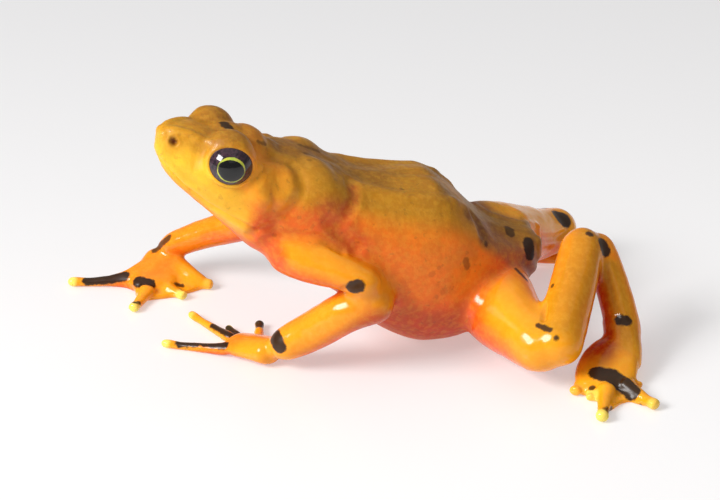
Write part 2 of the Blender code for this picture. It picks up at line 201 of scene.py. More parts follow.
# Webs between digits: corners in plan, of an even low height
WEBS = (
    ((15.2, -18.4), (12.5, -20.0), (13.5, -21.0), (13.9, -22.8), (13.7, -24.4), (15.4, -22.0)),
    ((15.4, -20.4), (14.0, -24.9), (15.2, -24.3), (16.5, -23.3), (17.5, -23.2), (18.8, -24.6),
     (19.0, -22.4), (18.2, -20.0)),
    ((-31.6, 17.4), (-32.9, 16.4), (-32.6, 18.6), (-33.4, 19.8), (-35.2, 20.9), (-32.0, 21.2)),
    ((-30.6, 17.6), (-31.6, 15.9), (-29.8, 15.8), (-28.2, 15.9), (-27.4, 16.8), (-28.4, 18.4)),
    ((-28.4, 18.6), (-27.4, 16.0), (-26.0, 16.5), (-24.6, 17.0), (-25.4, 18.6), (-27.2, 20.0)),
    ((20.6, 16.2), (22.6, 16.4), (24.4, 15.2), (24.4, 11.8), (22.8, 10.9), (21.0, 11.6)),
)
WEB_HEIGHT = 0.7

# Rounded ends of tubes, the step for a tube's direction, and the gap at a ball's poles
TUBE_CAP = 0.16
DIGIT_CAP = 0.12
TUBE_STEP = 0.02
LEAST_ROUNDING = 0.004
POLE_GAP = 0.05

BODY_VOXEL = 0.32
SKIN_VOXEL = 0.15
# Rounds of smoothing, of filling creases and of smoothing again
BODY_ROUNDS = (14, 110, 4)
SKIN_ROUNDS = (10, 40, 5)
# Rounds of filling creases and of smoothing once the strokes are in
SHAPED_ROUNDS = (6, 2)
# Rounds of smoothing for the normals that strokes and colours follow
STROKE_NORMAL_ROUNDS = 3
COLOUR_NORMAL_ROUNDS = 6
# Joints of the body that are filled out: x, y, z, reach and share
FILLED_JOINTS = (
    (-21.0, 0.0, 20.0, 9.0, 0.6),
    (-20.5, -6.0, 19.0, 5.5, 1.0),
    (-20.5, 6.0, 19.0, 5.5, 1.0),
    (-17.5, -4.5, 14.0, 4.0, 0.3),
    (-18.5, 6.0, 15.5, 6.0, 0.5),
    (-8.5, -10.5, 11.5, 4.5, 0.9),
    (6.5, -4.5, 7.0, 4.0, 0.2),
    (18.5, -5.5, 13.5, 2.5, 0.3),
    (-28.4, 23.2, 3.2, 4.0, 0.9),
    (20.0, -14.0, 2.6, 4.0, 0.9),
)
FILL_SPREAD = 1.4
LEAST_FILL = 0.02
# Hands and feet are filled out below this height, outside the place of chest and belly
LOW_FILL_HEIGHT = 5.2
LOW_FILL_FADE = 0.8
CHEST_HALF_WIDTH = 8.0
CHEST_FRONT_X = -13.0
CHEST_FADE = 2.0
# The rest of the skin is filled out by this share
FINE_FILL = 0.12
# Low uneven swelling of the skin: noise scale per mm and height in mm
GRAIN = ((0.8, 0.030), (2.3, 0.006))

PIXEL_SPACING = 1.2
NOSTRIL_PIXEL = (173, 141)
NOSTRIL_RADIUS = 1.0

# Strokes that shape the skin: name, also on the right side, reach, height, and the photo's pixels
STROKES = (
    ("canthus ridge", True, 1.0, 0.34, ((160, 128), (175, 130), (190, 134), (206, 142))),
    ("cheek hollow", True, 2.2, -0.34, ((180, 148), (196, 154))),
    ("cheek swelling", True, 2.4, 0.22, ((204, 176), (220, 196))),
    ("nostril rim", True, 1.1, 0.20, (NOSTRIL_PIXEL,)),
    ("nostril pit", True, 0.62, -0.80, (NOSTRIL_PIXEL, (174, 142))),
    ("snout tip", False, 1.6, 0.14, ((158, 150),)),
    ("brow fold", False, 1.0, 0.13, ((218, 145), (229, 142), (243, 147), (252, 157))),
    ("gland behind the eye", True, 2.2, 0.55,
     ((259, 172), (261, 184), (263, 196), (272, 173), (284, 179), (288, 188), (280, 194), (271, 186))),
    ("gland lower lobe", True, 1.8, 0.28, ((268, 202), (280, 202))),
    ("groove behind the gland", True, 1.1, -0.26,
     ((294, 167), (300, 177), (301, 188), (295, 203), (286, 212))),
    ("groove over the gland", True, 0.9, -0.22, ((259, 161), (274, 158), (291, 163))),
    ("neck fold", True, 1.8, -0.14, ((272, 142), (290, 152), (300, 162))),
    ("shoulder lobe", True, 3.2, 0.60, ((322, 172), (328, 186))),
    ("shoulder blade edge", True, 1.6, 0.14, ((312, 160), (332, 166), (345, 178))),
    ("groove behind the shoulder", False, 1.3, -0.34, ((350, 182), (354, 192), (352, 204), (342, 220))),
    ("ridge along the back", True, 1.6, 0.26,
     ((358, 186), (382, 191), (406, 196), (432, 198), (451, 202))),
    ("hollow over the ridge", True, 2.4, -0.24, ((366, 178), (396, 185), (420, 188))),
    ("hollow under the ridge", True, 2.0, -0.16, ((372, 202), (402, 208), (440, 212))),
    ("hump over the hips", True, 3.0, 0.22, ((404, 166), (418, 168))),
    ("hip corner", True, 1.7, 0.34, ((457, 204), (465, 209))),
    ("groove behind the hip", False, 1.2, -0.30, ((471, 213), (477, 221), (482, 233))),
    ("rump edge", False, 0.9, 0.24, ((474, 204), (490, 214), (510, 220), (537, 226))),
    ("rump end", False, 0.9, 0.30, ((537, 229), (539, 240), (539, 254))),
    ("hollow of the rump", False, 2.0, -0.35, ((496, 232), (520, 240))),
    ("groin crease", False, 1.0, -0.22, ((512, 262), (500, 273), (486, 296), (474, 318), (466, 334))),
    ("skin of the groin", False, 1.0, 0.25, ((530, 262), (538, 275))),
    ("arm crease", False, 0.8, -0.34, ((276, 234), (300, 235), (320, 238), (342, 251))),
    ("armpit", False, 1.4, -0.40, ((330, 222), (342, 236), (356, 248))),
    ("throat fold", False, 1.0, -0.30, ((250, 236), (262, 228), (276, 226))),
    ("knee crease", False, 0.6, -0.45, ((544, 319), (545, 310), (546, 302))),
    ("elbow crease", False, 0.7, -0.25, ((344, 289), (358, 284))),
    ("forearm muscle", False, 2.2, 0.15, ((330, 306), (310, 320))),
    ("shank muscle", False, 2.4, 0.15, ((570, 280), (566, 310))),
    ("thigh muscle", False, 3.0, 0.15, ((508, 300), (520, 322))),
    ("far knee crease", False, 0.8, -0.40, ((541, 238), (556, 238), (568, 232))),
    ("tarsus tendon", False, 0.8, 0.18, ((610, 266), (618, 292), (624, 316))),
)
# Strokes given on the head as seen from its side: name, reach, height, and x, z points
HEAD_STROKES = (
    ("mouth", 0.40, -0.30, MOUTH),
    ("upper lip", 0.80, 0.12, tuple((x, z + 0.75) for x, z in MOUTH)),
    ("lower lip", 0.70, 0.10, tuple((x, z - 0.70) for x, z in MOUTH[:5])),
)
HEAD_STROKE_STEPS = 12
BESIDE_HEAD = 30.0

# Colours of living skin, some also used below for painted light and shade, in display values from 0 to
# 255
PALETTE = {
    "straw": (255, 196, 40),
    "gold": (250, 166, 26),
    "amber": (244, 138, 18),
    "orange": (244, 122, 18),
    "flame": (230, 84, 18),
    "red": (184, 38, 12),
    "ochre": (194, 131, 14),
    "olive": (150, 98, 14),
    "brown": (112, 62, 24),
    # mauve stands partly for painted shade and a painted lilac sheen
    "mauve": (142, 86, 66),
    "lemon": (253, 226, 104),
    "dark": (24, 11, 8),
    "nostril": (96, 34, 14),
}
# Soft washes of colour, some of them painted light and shade as marked: colour, also on the right side,
# reach, strength, and the photo's pixels
WASHES = (
    # Paler straw yellow over snout and cheeks: partly the face's own yellow, partly painted light where
    # the light falls on the face.
    ("straw", True, 4.5, 0.85, ((165, 145), (180, 160), (200, 172), (225, 205), (240, 212))),
    ("ochre", True, 3.0, 0.8, ((176, 128), (196, 118), (210, 122), (240, 140))),
    ("olive", True, 2.8, 0.7, ((205, 108), (222, 118), (236, 128))),
    # Painted shade: a darker ochre line below the canthus ridge.
    ("ochre", True, 1.0, 0.5, ((184, 138), (196, 144), (206, 150))),
    # Painted light: amber over the gland behind the eye, on the slope that turns from the key light.
    ("amber", True, 3.4, 1.0, ((264, 176), (276, 184), (288, 192), (272, 200))),
    ("ochre", True, 3.6, 0.9, ((300, 160), (325, 168), (335, 185), (310, 190))),
    ("brown", True, 2.2, 0.6, ((280, 147), (300, 150), (330, 158))),
    ("olive", True, 3.6, 0.9, ((345, 166), (365, 172), (395, 180), (425, 186), (440, 190))),
    ("ochre", True, 2.6, 0.5, ((395, 165), (415, 166))),
    ("ochre", True, 2.2, 0.6, ((365, 192), (406, 202), (446, 206))),
    # Red in the armpit: partly the skin's red, partly painted shade in the crease.
    ("red", False, 2.4, 0.6, ((330, 214), (340, 230), (354, 246))),
    # Painted shade: red in the groove behind the shoulder.
    ("red", False, 0.9, 0.5, ((352, 190), (353, 200), (346, 210))),
    ("flame", False, 4.0, 0.25, ((380, 270), (410, 290), (440, 300))),
    # Red along the lower edge of the belly: partly the skin's red underside, partly painted shade under
    # the belly.
    ("red", False, 4.0, 0.8, ((370, 312), (405, 326), (440, 330), (462, 326))),
    ("olive", True, 3.2, 0.9, ((476, 212), (495, 220), (515, 228), (532, 228))),
    # Mauve on the lower rump: partly the skin's brownish tone, partly painted shade and a painted lilac
    # sheen.
    ("mauve", True, 2.6, 0.75, ((490, 234), (505, 246), (522, 262))),
    # Painted shade: brown in the groove behind the hip.
    ("brown", True, 1.2, 0.8, ((469, 214), (478, 224), (484, 240))),
    # Mauve at the back of the groin: partly the skin's brownish-pink, partly a painted lilac sheen.
    ("mauve", False, 1.6, 0.9, ((528, 262), (538, 276))),
    ("flame", False, 2.0, 0.7, ((500, 272), (486, 296), (472, 322))),
    ("flame", False, 3.0, 0.7, ((476, 338), (500, 352), (530, 364))),
    ("gold", False, 4.5, 0.8, ((520, 300), (540, 350), (556, 356))),
    ("ochre", False, 3.0, 0.7, ((590, 240), (580, 270), (566, 300), (560, 318))),
    # Painted shade: red on the inner face of the tarsus, which turns from the light.
    ("red", False, 1.6, 0.9, ((600, 280), (603, 310), (606, 335))),
    # Painted shade: red on the inner side of the foot, under the shank.
    ("red", False, 2.3, 0.95, ((578, 364), (588, 354), (600, 350), (598, 362))),
    ("ochre", False, 1.6, 0.8, ((612, 270), (624, 310), (632, 345))),
    ("gold", False, 2.4, 0.6, ((300, 250), (330, 262), (360, 280), (385, 296))),
    ("gold", False, 2.6, 0.6, ((350, 305), (320, 325), (290, 345))),
    ("gold", False, 2.2, 0.8, ((246, 350), (262, 354), (284, 360))),
    ("flame", False, 2.0, 0.6, ((190, 258), (215, 244), (150, 286))),
    ("flame", False, 1.9, 0.95, ((262, 226), (264, 236), (268, 248), (274, 258))),
    ("flame", False, 2.4, 0.6, ((270, 212), (286, 218), (310, 226))),
    # Painted light: gold that lightens the gland where its slope turns from the key light.
    ("gold", True, 2.4, 0.7, ((262, 176), (270, 186), (278, 192))),
    ("gold", False, 2.4, 0.8, ((500, 205), (530, 212), (552, 220), (572, 220))),
    # Painted shade: red-orange on the far shank, under the far thigh.
    ("flame", False, 1.2, 0.7, ((543, 244), (552, 251))),
)
WASH_SPREAD = 1.35
WASH_CORE = 1.4
# Dark marks: name, also on the right side, radius in mm, darkness, and the photo's pixels
MARKS = (
    ("head spot", False, 0.60, 0.92, ((224, 123), (229, 128))),
    ("nape spot", True, 0.30, 0.6, ((259, 142), (265, 144))),
    ("nape band", True, 0.34, 0.45, ((300, 145), (308, 148), (318, 151))),
    ("back fleck", False, 0.26, 0.5, ((402, 189),)),
    ("neck fleck", False, 0.28, 0.4, ((310, 160),)),
    ("rump spot", False, 0.66, 0.75, ((509, 229), (510, 233))),
    ("rump oval", False, 0.82, 0.95, ((529, 243), (530, 254))),
    ("small rump spot", False, 0.40, 0.6, ((486, 244),)),
    ("flank spot", False, 0.50, 0.45, ((466, 261), (467, 266))),
    ("low flank spot", False, 0.55, 0.18, ((444, 291),)),
    ("faint flank spot", False, 0.40, 0.18, ((432, 274),)),
    ("elbow spot", False, 0.85, 0.95, ((353, 287), (358, 286))),
    ("wrist spot", False, 0.95, 0.97, ((274, 336), (279, 346))),
    ("finger mark", False, 0.46, 0.97, ((213, 325.5), (222, 330.5), (231, 335))),
    ("second finger", False, 0.60, 0.97, ((226, 329), (236, 333))),
    ("finger ring", False, 0.42, 0.95, ((200, 315), (203, 317))),
    ("long finger band", False, 0.62, 0.97, ((180, 343), (200, 343), (224, 345))),
    ("thumb tip", False, 0.80, 0.95, ((260, 321), (261, 325))),
    ("far forearm stripe", False, 0.55, 0.85, ((155, 250), (162, 243), (168, 238))),
    ("far finger band", False, 0.72, 0.97, ((88, 280), (105, 279), (124, 276))),
    ("far palm mark", False, 0.85, 0.97, ((138, 281), (149, 284))),
    ("far third ring", False, 0.36, 0.9, ((134, 302), (139, 303))),
    ("far second mark", False, 0.36, 0.9, ((176, 285), (182, 286))),
    ("thigh mark", False, 0.34, 0.85, ((517, 270), (526, 279))),
    ("shank edge mark", False, 0.34, 0.8, ((552, 286),)),
    ("knee mark", False, 0.36, 0.9, ((538, 325), (545, 328), (550, 330))),
    ("knee dot", False, 0.33, 0.9, ((556, 338),)),
    ("heel dot", False, 0.48, 0.9, ((590, 234),)),
    ("heel spot", False, 0.88, 0.95, ((603, 244), (605, 250))),
    ("tarsus spot", False, 0.68, 0.95, ((620, 320), (627, 321))),
    ("foot band", False, 1.05, 0.97, ((597, 373), (612, 376), (624, 384), (632, 392))),
    ("foot dot", False, 0.42, 0.9, ((592, 388),)),
    ("third toe ring", False, 0.50, 0.8, ((607, 410), (614, 411))),
    ("outer toe fleck", False, 0.20, 0.7, ((641, 405),)),
    ("far thigh spot", False, 1.25, 0.97, ((560, 217), (564, 219))),
)
# Marks on skin that the photo doesn't show: radius in mm, darkness, and a point near the skin
HIDDEN_MARKS = (
    (0.75, 0.85, (6.5, 7.0, 12.0)),
    (0.60, 0.70, (2.0, 9.0, 12.5)),
    (0.50, 0.50, (-3.0, 9.5, 9.0)),
    (0.45, 0.50, (-9.0, 8.5, 14.0)),
    (0.70, 0.95, (-15.0, 16.0, 12.5)),
    (0.55, 0.90, (-21.0, 20.0, 9.5)),
    (0.95, 0.95, (18.0, 13.0, 8.0)),
    (0.55, 0.90, (13.0, 12.0, 5.5)),
    (0.60, 0.90, (8.0, 11.5, 4.0)),
    (0.70, 0.90, (19.0, 14.4, 2.6)),
    (0.60, 0.90, (14.0, -13.0, 3.0)),
    (0.60, 0.90, (18.6, -8.0, 12.0)),
    (0.50, 0.80, (21.5, -8.5, 9.0)),
)
# Fingers and toes: the golden end and its pale tip, each with its length, fade and strength
GOLD_TIP = (6.5, 3.0, 0.8)
LEMON_TIP = (1.5, 0.4, 1.0)
PLAIN_TOE = "toe_left_5"

# Noises of the materials: scale per metre, detail and roughness
CLOUDS = (420.0, 4.0, 0.6)
FLECKS = (1500.0, 3.0, 0.6)
PORES = (1250.0, 2.0, 0.5)
MARK_EDGES = (1900.0, 3.0, 0.6)
WETNESS = (900.0, 3.0, 0.55)
FINE_GRAIN = (3800.0, 2.0, 0.55)
COARSE_GRAIN = (1700.0, 2.0, 0.55)
EYE_RIPPLES = (2400.0, 3.0, 0.55)
IRIS_SPECKS = (3000.0, 3.0, 0.55)
RING_SPECKS = (2600.0, 2.0, 0.55)
# Colours of the details, in linear light
CLOUD_COLOUR = (0.30, 0.11, 0.010)
FLECK_COLOUR = (0.95, 0.52, 0.05)
PORE_COLOUR = (0.10, 0.035, 0.008)
PUPIL_COLOUR = (0.003, 0.003, 0.003)
IRIS_COLOURS = ((0.050, 0.022, 0.034), (0.012, 0.007, 0.012))
RING_COLOURS = ((0.38, 0.50, 0.05), (0.62, 0.55, 0.06))
# Gloss: inputs of each material's shader
SKIN_GLOSS = {
    "Specular IOR Level": 0.30,
    "Coat Weight": 0.10,
    "Coat Roughness": 0.08,
    "Subsurface Weight": 0.15,
    "Subsurface Radius": (1.0, 0.30, 0.08),
    "Subsurface Scale": 0.0010,
}
# The skin's roughness where it is wet, and what matt and dark skin add
WET_ROUGHNESS = (0.10, 0.20)
MATT_ROUGHNESS = 0.34
DARK_ROUGHNESS = 0.20
BUMP_STRENGTH = 0.45
BUMP_DISTANCE = 0.00005
EYE_GLOSS = {"Roughness": 0.35, "Specular IOR Level": 0.05, "Coat Weight": 1.0, "Coat Roughness": 0.02}

# The floor is a pale sheet with a faint light of its own that lifts its shadows, and painted shade that
# darkens it from one distance to the next, towards the back
FLOOR_HALF = 3.0
FLOOR_COLOURS = ((0.58, 0.575, 0.575), (0.39, 0.39, 0.395))
FLOOR_FADE = (-0.06, 0.16)
FLOOR_GLOSS = {
    "Emission Color": (1.0, 0.985, 0.985, 1.0),
    "Emission Strength": 0.40,
    "Roughness": 0.30,
    "Specular IOR Level": 0.5,
}
# Lights: name, place from the point they aim at, width and depth in metres, and power in watts
LIGHT_AIM = Vector((0.0, 0.0, 0.01))
LIGHTS = (
    ("key", Vector((-1.0, -0.24, 0.74)).normalized() * 0.60, (0.28, 0.22), 4.4),
    ("front", Vector((0.15, -0.75, 0.65)), (0.9, 0.5), 0.55),
    ("top", Vector((0.1, 0.15, 0.8)), (1.2, 1.2), 1.7),
)
SKY_STRENGTH = 0.24


def shade(name):
    """A colour of the palette as linear light."""
    value = np.array(PALETTE[name], float) / 255
    return np.where(value <= 0.04045, value / 12.92, ((value + 0.055) / 1.055) ** 2.4)


def ramp(value, width):
    """Share that rises from 0 to 1 while the value goes from 0 to the width."""
    return np.clip(value / width, 0, 1)


def eased(share):
    return share * share * (3 - 2 * share)


def to_row(points):
    return (np.asarray(points, float) + SHIFT) * MM


def turned(points, angle=HEAD_TURN):
    """Points of the head turned about the neck, towards the frog's left."""
    out = np.array(points, float)
    along = out[..., 0] - HEAD_PIVOT_X
    side = out[..., 1].copy()
    out[..., 0] = HEAD_PIVOT_X + along * np.cos(angle) - side * np.sin(angle)
    out[..., 1] = along * np.sin(angle) + side * np.cos(angle)
    return out


def smooth_row(stations, positions):
    """Smooth values at positions from 0 to 1 along rows of numbers."""
    rows = np.array(stations, float)
    last = len(rows) - 1
    padded = np.vstack((2 * rows[0] - rows[1], rows, 2 * rows[-1] - rows[-2]))
    place = np.clip(positions, 0, 1) * last
    index = np.minimum(place.astype(int), last - 1)
    t = (place - index)[:, None]
    a, b, c, d = (padded[index + k] for k in range(4))
    square = (2 * a - 5 * b + 4 * c - d) * t ** 2
    cube = (3 * b - a - 3 * c + d) * t ** 3
    return 0.5 * (2 * b + (c - a) * t + square + cube)


def signed_power(value, power):
    return np.sign(value) * np.abs(value) ** power


def upright_rings(stations, powers, ring_count=90, segments=96):
    """Rings in upright planes along the body."""
    rows = smooth_row(stations, np.linspace(0, 1, ring_count))
    angle = np.linspace(0, 2 * np.pi, segments, endpoint=False)
    upper = np.sin(angle) > 0
    power = np.where(upper, powers[0], powers[1])
    x, low, top, half = (rows[:, k, None] for k in range(4))
    middle = low + (top - low) * MIDDLE
    reach = np.where(upper, top - middle, middle - low)
    side = signed_power(np.cos(angle), 2 / power) * half
    rise = middle + signed_power(np.sin(angle), 2 / power) * reach
    return np.stack((x + 0 * side, side, rise), -1)


def tube_rings(spine, ring_count=60, segments=48, cap=TUBE_CAP):
    """Rings across a bent spine with rounded ends."""
    t = 0.5 - 0.5 * np.cos(np.pi * np.linspace(0, 1, ring_count))
    rows = smooth_row(spine, t)
    along = smooth_row(spine, t + TUBE_STEP)[:, :3] - smooth_row(spine, t - TUBE_STEP)[:, :3]
    along /= np.linalg.norm(along, axis=1)[:, None]
    across = np.cross(along, (0, 0, 1))
    across /= np.linalg.norm(across, axis=1)[:, None]
    up = np.cross(across, along)
    edge = np.minimum(np.minimum(t, 1 - t) / cap, 1)
    rounding = np.sqrt(np.maximum(1 - (1 - edge) ** 2, LEAST_ROUNDING))
    angle = np.linspace(0, 2 * np.pi, segments, endpoint=False)[None, :, None]
    sideways = across[:, None] * np.cos(angle) * (rows[:, 3] * rounding)[:, None, None]
    upwards = up[:, None] * np.sin(angle) * (rows[:, 4] * rounding)[:, None, None]
    return rows[:, None, :3] + (sideways + upwards)


def digit_spine(key):
    root_x, root_y, tip_x, tip_y, half = DIGITS[key]
    extra = DIGIT_ROOTS.get(key, 1.0) - 1
    spine = []
    for t, swell in DIGIT_SWELL:
        swell += extra * max(1 - t / DIGIT_ROOT_REACH, 0) ** DIGIT_ROOT_FADE
        height = half * DIGIT_HEIGHT * swell
        x = root_x + (tip_x - root_x) * t
        y = root_y + (tip_y - root_y) * t
        spine.append((x, y, height, half * swell, height))
    return spine


def ball_rings(centre, radii, ring_count=30, segments=48):
    """Rings of a ball, from its lowest to its highest."""
    angle = np.linspace(0, 2 * np.pi, segments, endpoint=False)
    height = np.linspace(-np.pi / 2 + POLE_GAP, np.pi / 2 - POLE_GAP, ring_count)[:, None]
    x = centre[0] + radii[0] * np.cos(height) * np.cos(angle)
    y = centre[1] + radii[1] * np.cos(height) * np.sin(angle)
    z = centre[2] + radii[2] * np.sin(height) + 0 * angle
    return np.stack((x, y, z), -1)


def web_rings(corners):
    """Two rings of a low plate with the given corners."""
    ring = np.array([(x, y, 0.0) for x, y in corners])
    return np.stack((ring, ring + (0, 0, WEB_HEIGHT)))


class Pool:
    """Closed shapes gathered into one mesh."""

    def __init__(self):
        self.vertices = []
        self.faces = []
        self.count = 0

    def add(self, vertices, faces):
        self.vertices.append(np.asarray(vertices, float))
        self.faces += [tuple(int(i) + self.count for i in face) for face in faces]
        self.count += len(vertices)

    def add_rings(self, rings):
        rings = rings.copy()
        rings[..., 2] = np.maximum(rings[..., 2], 0)
        rows, around = rings.shape[:2]
        grid = np.arange(rows * around).reshape(rows, around)
        nxt = np.roll(grid, -1, axis=1)
        quads = np.stack((grid[:-1], nxt[:-1], nxt[1:], grid[1:]), -1).reshape(-1, 4)
        faces = [tuple(q) for q in quads]
        faces.append(tuple(grid[0][::-1]))
        faces.append(tuple(grid[-1]))
        self.add(rings.reshape(-1, 3), faces)


def added(name, data):
    """New object in the scene."""
    obj = bpy.data.objects.new(name, data)
    bpy.context.scene.collection.objects.link(obj)
    return obj


def aim(obj, place, target):
    """Puts a light or camera at its place and turns it to its target."""
    obj.location = place
    obj.rotation_euler = (target - place).to_track_quat("-Z", "Y").to_euler()


def remeshed(pool, voxel):
    """One surface round all closed shapes, in even quads, as arrays."""
    mesh = bpy.data.meshes.new("shapes")
    mesh.from_pydata([tuple(v) for v in np.vstack(pool.vertices)], [], pool.faces)
    obj = added("shapes", mesh)
    step = obj.modifiers.new("union", "REMESH")
    step.mode = "VOXEL"
    step.voxel_size = voxel
    bpy.context.view_layer.update()
    made = bpy.data.meshes.new_from_object(obj.evaluated_get(bpy.context.evaluated_depsgraph_get()))
    bpy.data.objects.remove(obj)
    points = np.zeros(len(made.vertices) * 3)
    made.vertices.foreach_get("co", points)
    corners = np.zeros(len(made.loops), int)
    made.loops.foreach_get("vertex_index", corners)
    bpy.data.meshes.remove(made)
    return points.reshape(-1, 3), corners.reshape(-1, 4)


class Surface:
    """The skin while it is shaped: its points, its quads and what joins them."""

    def __init__(self, points, quads):
        self.points = points
        self.quads = quads
        pairs = np.vstack([quads[:, (k, (k + 1) % 4)] for k in range(4)])
        pairs = np.unique(np.sort(pairs, axis=1), axis=0)
        self.start = np.concatenate((pairs[:, 0], pairs[:, 1]))
        self.end = np.concatenate((pairs[:, 1], pairs[:, 0]))
        self.degree = np.bincount(self.start, minlength=len(points)).astype(float)

    def spread(self, values):
        """Mean of the neighbours' values."""
        if values.ndim == 1:
            return np.bincount(self.start, values[self.end], len(self.points)) / self.degree
        return np.stack([self.spread(values[:, k]) for k in range(values.shape[1])], 1)

    def normals(self):
        a, b, c, d = (self.points[self.quads[:, k]] for k in range(4))
        face = np.cross(c - a, d - b)
        total = np.zeros_like(self.points)
        for k in range(4):
            for axis in range(3):
                total[:, axis] += np.bincount(self.quads[:, k], face[:, axis], len(self.points))
        return total / np.maximum(np.linalg.norm(total, axis=1), 1e-12)[:, None]

    def even_normals(self, rounds):
        normals = self.normals()
        for _ in range(rounds):
            normals = self.spread(normals)
        return normals / np.linalg.norm(normals, axis=1)[:, None]

    def even_out(self, rounds, shrink=0.5, swell=-0.52):
        """Takes steps off the surface; swell gives back what shrink takes away."""
        for _ in range(rounds):
            for step in (shrink, swell):
                self.points = self.points + step * (self.spread(self.points) - self.points)

    def fill_creases(self, rounds, share=1.0, step=0.5):
        """Rounds off inner corners and leaves outer ones."""
        for _ in range(rounds):
            pull = self.spread(self.points) - self.points
            outward = np.einsum("ij,ij->i", pull, self.normals())
            self.lift(pull, step * share * (outward > 0))

    def lift(self, ways, heights):
        """Moves each point along its own way and keeps it on the floor."""
        self.points = self.points + ways * heights[:, None]
        self.points[:, 2] = np.maximum(self.points[:, 2], 0)

    def tree(self):
        return BVHTree.FromPolygons(self.points.tolist(), self.quads.tolist())


def body_surface():
    """Trunk, head and limbs as one body with filled joints."""
    pool = Pool()
    pool.add_rings(upright_rings(TRUNK, TRUNK_POWERS))
    pool.add_rings(turned(upright_rings(HEAD, HEAD_POWERS)))
    for spine in (*LIMBS.values(), HIP_FOLD):
        pool.add_rings(tube_rings(spine))
    body = Surface(*remeshed(pool, BODY_VOXEL))
    smoothing, filling, finish = BODY_ROUNDS
    body.even_out(smoothing, swell=0.0)
    share = np.full(len(body.points), LEAST_FILL)
    for *place, reach, amount in FILLED_JOINTS:
        near = falloff(np.linalg.norm(body.points - place, axis=1), reach * FILL_SPREAD)
        share = np.maximum(share, amount * near)
    body.fill_creases(filling, share)
    body.even_out(finish)
    return body


def skin_surface():
    """The body with its brows, crown, palms and digits, in fine quads."""
    body = body_surface()
    pool = Pool()
    pool.add(body.points, body.quads)
    for side in (-1, 1):
        centre = np.array(BROW_CENTRE) * (1, side, 1)
        pool.add_rings(turned(ball_rings(centre, (BROW_RADIUS,) * 3)))
    for centre, radii in CROWN:
        pool.add_rings(turned(ball_rings(centre, radii)))
    for spine in (*PALMS.values(), *WRIST_FOLDS, HEEL_FOLD):
        pool.add_rings(tube_rings(spine))
    for key in DIGITS:
        pool.add_rings(tube_rings(digit_spine(key), 40, 24, DIGIT_CAP))
    for corners in WEBS:
        pool.add_rings(web_rings(corners))
    skin = Surface(*remeshed(pool, SKIN_VOXEL))
    smoothing, filling, finish = SKIN_ROUNDS
    skin.even_out(smoothing, swell=0.0)
    x, y, z = skin.points.T
    low = ramp(LOW_FILL_HEIGHT - z, LOW_FILL_FADE)
    away = ramp(np.abs(y) - CHEST_HALF_WIDTH, CHEST_FADE) + ramp(CHEST_FRONT_X - x, CHEST_FADE)
    skin.fill_creases(filling, np.maximum(FINE_FILL, low * np.clip(away, 0, 1)))
    skin.even_out(finish)
    return skin


def camera_basis():
    ahead = CAMERA_TARGET - CAMERA_PLACE
    ahead = ahead / np.linalg.norm(ahead)
    right = np.cross(ahead, (0, 0, 1))
    right = right / np.linalg.norm(right)
    return ahead, right, np.cross(right, ahead)


def pixel_direction(u, v):
    ahead, right, up = camera_basis()
    return ahead * FOCAL_PIXELS + right * (u - PHOTO_SIZE[0] / 2) - up * (v - PHOTO_SIZE[1] / 2)


def along_pixels(pixels):
    """Closely spaced pixels along the straight runs between the given ones."""
    out = [pixels[0]]
    for (u0, v0), (u1, v1) in zip(pixels[:-1], pixels[1:]):
        count = max(int(np.hypot(u1 - u0, v1 - v0) / PIXEL_SPACING), 1)
        for k in range(1, count + 1):
            out.append((u0 + (u1 - u0) * k / count, v0 + (v1 - v0) * k / count))
    return out


def points_under(tree, name, pixels, both):
    """Where the photo's pixels lie on the skin, and the same places on the right side."""
    found = []
    for u, v in along_pixels(pixels):
        hit = tree.ray_cast(Vector(CAMERA_PLACE), Vector(pixel_direction(u, v)))[0]
        if hit is not None:
            found.append(hit)
    if not found:
        print("no skin under", name)
        return np.zeros((0, 3))
    places = np.array(found)
    if both:
        on_head = places[:, 0] < HEAD_PIVOT_X
        other = np.where(on_head[:, None], turned(places, -HEAD_TURN), places)
        other = other * (1, -1, 1)
        other = np.where(on_head[:, None], turned(other), other)
        other = [tree.find_nearest(Vector(p))[0] for p in other]
        places = np.vstack((places, np.array(other)))
    return places


def distance_to(points, places):
    """Distance from each point to the nearest of a few places."""
    best = np.full(len(points), 1e9)
    for place in places:
        best = np.minimum(best, ((points - place) ** 2).sum(1))
    return np.sqrt(best)


def falloff(distance, reach):
    return np.clip(1 - (distance / reach) ** 2, 0, 1) ** 2


def head_places(tree, line, side):
    """Points of a line on one side of the head, found from beside it."""
    out = []
    for (x0, z0), (x1, z1) in zip(line[:-1], line[1:]):
        for t in np.linspace(0, 1, HEAD_STROKE_STEPS):
            x = x0 + (x1 - x0) * t
            z = z0 + (z1 - z0) * t
            start = turned((x, side * BESIDE_HEAD, z))
            hit = tree.ray_cast(Vector(start), Vector(turned((x, 0.0, z)) - start))[0]
            if hit is not None:
                out.append(hit)
    return np.array(out).reshape(-1, 3)


def shape_skin(skin):
    """Presses and lifts the skin along its strokes."""
    tree = skin.tree()
    height = np.zeros(len(skin.points))
    for name, both, reach, amount, pixels in STROKES:
        places = points_under(tree, name, pixels, both)
        height += amount * falloff(distance_to(skin.points, places), reach)
    for name, reach, amount, line in HEAD_STROKES:
        for side in (-1, 1):
            places = head_places(tree, line, side)
            height += amount * falloff(distance_to(skin.points, places), reach)
    skin.lift(skin.even_normals(STROKE_NORMAL_ROUNDS), height)


def eye_frame(side):
    """Centre of an eye, and its directions outwards, forward and up."""
    mirror = (1, side, 1)
    centre = turned(np.array(EYE_CENTRE) * mirror)
    tip = turned((np.array(EYE_CENTRE) + EYE_AXIS) * mirror)
    axis = (tip - centre) / np.linalg.norm(tip - centre)
    slope = np.array(EYE_SLOPE)
    forward = slope - axis * slope.dot(axis)
    forward /= np.linalg.norm(forward)
    up = np.cross(axis, forward)
    up *= np.sign(up[2])
    return centre, axis, forward, up


